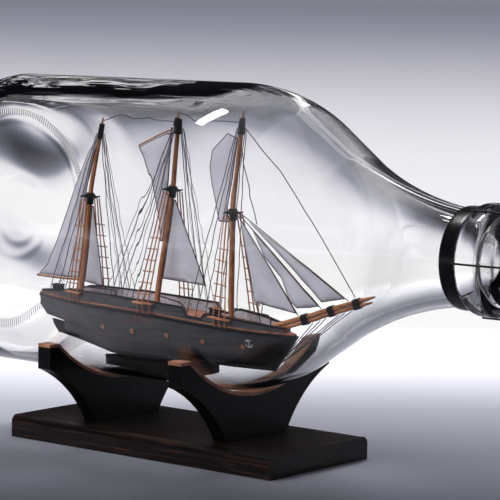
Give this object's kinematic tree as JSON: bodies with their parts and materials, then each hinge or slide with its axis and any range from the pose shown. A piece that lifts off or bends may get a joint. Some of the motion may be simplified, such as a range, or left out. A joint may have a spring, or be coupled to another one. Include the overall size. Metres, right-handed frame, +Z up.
{
  "type": "ship in a bottle",
  "caption": "Three-masted sailing ship model inside a clear stoppered bottle, which lies in two lined cradles on a dark wooden board.",
  "frame": {"origin": "centre of the base board's underside, on the surface that the stand rests on", "axes": "+X along the bottle towards its neck and the ship's bow, +Y to the ship's port side, +Z up"},
  "size_m": [0.2143, 0.0914, 0.1118],
  "materials": {
    "base_board": "satin lacquer",
    "rear_cradle": "satin lacquer",
    "front_cradle": "satin lacquer",
    "rear_lining": "raw",
    "front_lining": "raw",
    "cradle_screws": "bright",
    "bottle": "clear",
    "neck_ring": "gloss",
    "stopper": "cork",
    "wire_hood": "black",
    "ship_block": "black paint",
    "hull": "grey-black paint",
    "keel": "grey paint",
    "rudder": "grey-black paint",
    "deck": "bare",
    "bulwarks": "grey-black paint",
    "cap_rails": "dark stain",
    "wales": "black paint",
    "channels": "bare",
    "deck_rails": "darkened",
    "portholes": "bare",
    "anchors": "pale grey",
    "steering_box": "dark stain",
    "galley": "dark stain",
    "mizzen_mast": "bare",
    "main_mast": "bare",
    "fore_mast": "bare",
    "mast_staples": "dull",
    "mizzen_crosstrees": "black paint",
    "main_crosstrees": "black paint",
    "fore_crosstrees": "black paint",
    "mizzen_masthead": "black thread",
    "main_masthead": "black thread",
    "fore_masthead": "black thread",
    "mizzen_boom": "bare",
    "topsail_yard": "bare",
    "bowsprit": "bare",
    "jibboom": "bare",
    "bowsprit_lashings": "black thread",
    "mizzen_sail": "matt, faintly sheer",
    "mizzen_staysail": "matt, faintly sheer",
    "main_topsail": "matt, faintly sheer",
    "main_staysail": "matt, faintly sheer",
    "fore_topsail": "matt, faintly sheer",
    "inner_jib": "matt, faintly sheer",
    "middle_jib": "matt, faintly sheer",
    "outer_jib": "matt, faintly sheer",
    "jib_sheets": "dark thread",
    "mizzen_shrouds": "tan thread",
    "main_shrouds": "tan thread",
    "fore_shrouds": "tan thread",
    "ratlines": "tan thread",
    "backstays": "grey thread",
    "headstays": "dark thread",
    "bobstays": "grey thread",
    "triatic_stays": "dark thread"
  },
  "bodies": {
    "stand": {"base_board": "base_board", "rear_cradle": "rear_cradle", "front_cradle": "front_cradle", "rear_lining": "rear_lining", "front_lining": "front_lining", "cradle_screws": "cradle_screws"},
    "bottle": {"bottle": "bottle", "neck_ring": "neck_ring", "ship_block": "ship_block", "hull": "hull", "keel": "keel", "rudder": "rudder", "deck": "deck", "bulwarks": "bulwarks", "cap_rails": "cap_rails", "wales": "wales", "channels": "channels", "deck_rails": "deck_rails", "portholes": "portholes", "anchors": "anchors", "steering_box": "steering_box", "galley": "galley", "mizzen_mast": "mizzen_mast", "main_mast": "main_mast", "fore_mast": "fore_mast", "mast_staples": "mast_staples", "mizzen_crosstrees": "mizzen_crosstrees", "main_crosstrees": "main_crosstrees", "fore_crosstrees": "fore_crosstrees", "mizzen_masthead": "mizzen_masthead", "main_masthead": "main_masthead", "fore_masthead": "fore_masthead", "mizzen_boom": "mizzen_boom", "topsail_yard": "topsail_yard", "bowsprit": "bowsprit", "jibboom": "jibboom", "bowsprit_lashings": "bowsprit_lashings", "mizzen_sail": "mizzen_sail", "mizzen_staysail": "mizzen_staysail", "main_topsail": "main_topsail", "main_staysail": "main_staysail", "fore_topsail": "fore_topsail", "inner_jib": "inner_jib", "middle_jib": "middle_jib", "outer_jib": "outer_jib", "jib_sheets": "jib_sheets", "mizzen_shrouds": "mizzen_shrouds", "main_shrouds": "main_shrouds", "fore_shrouds": "fore_shrouds", "ratlines": "ratlines", "backstays": "backstays", "headstays": "headstays", "bobstays": "bobstays", "triatic_stays": "triatic_stays"},
    "stopper": {"stopper": "stopper", "wire_hood": "wire_hood"}
  },
  "joints": [
    {"name": "bottle_lift", "type": "slide", "parent": "stand", "child": "bottle", "axis": [0, 0, 1], "range_m": [0, 0.06]},
    {"name": "stopper_pull", "type": "slide", "parent": "bottle", "child": "stopper", "axis": [1, 0, 0], "range_m": [0, 0.03]}
  ]
}
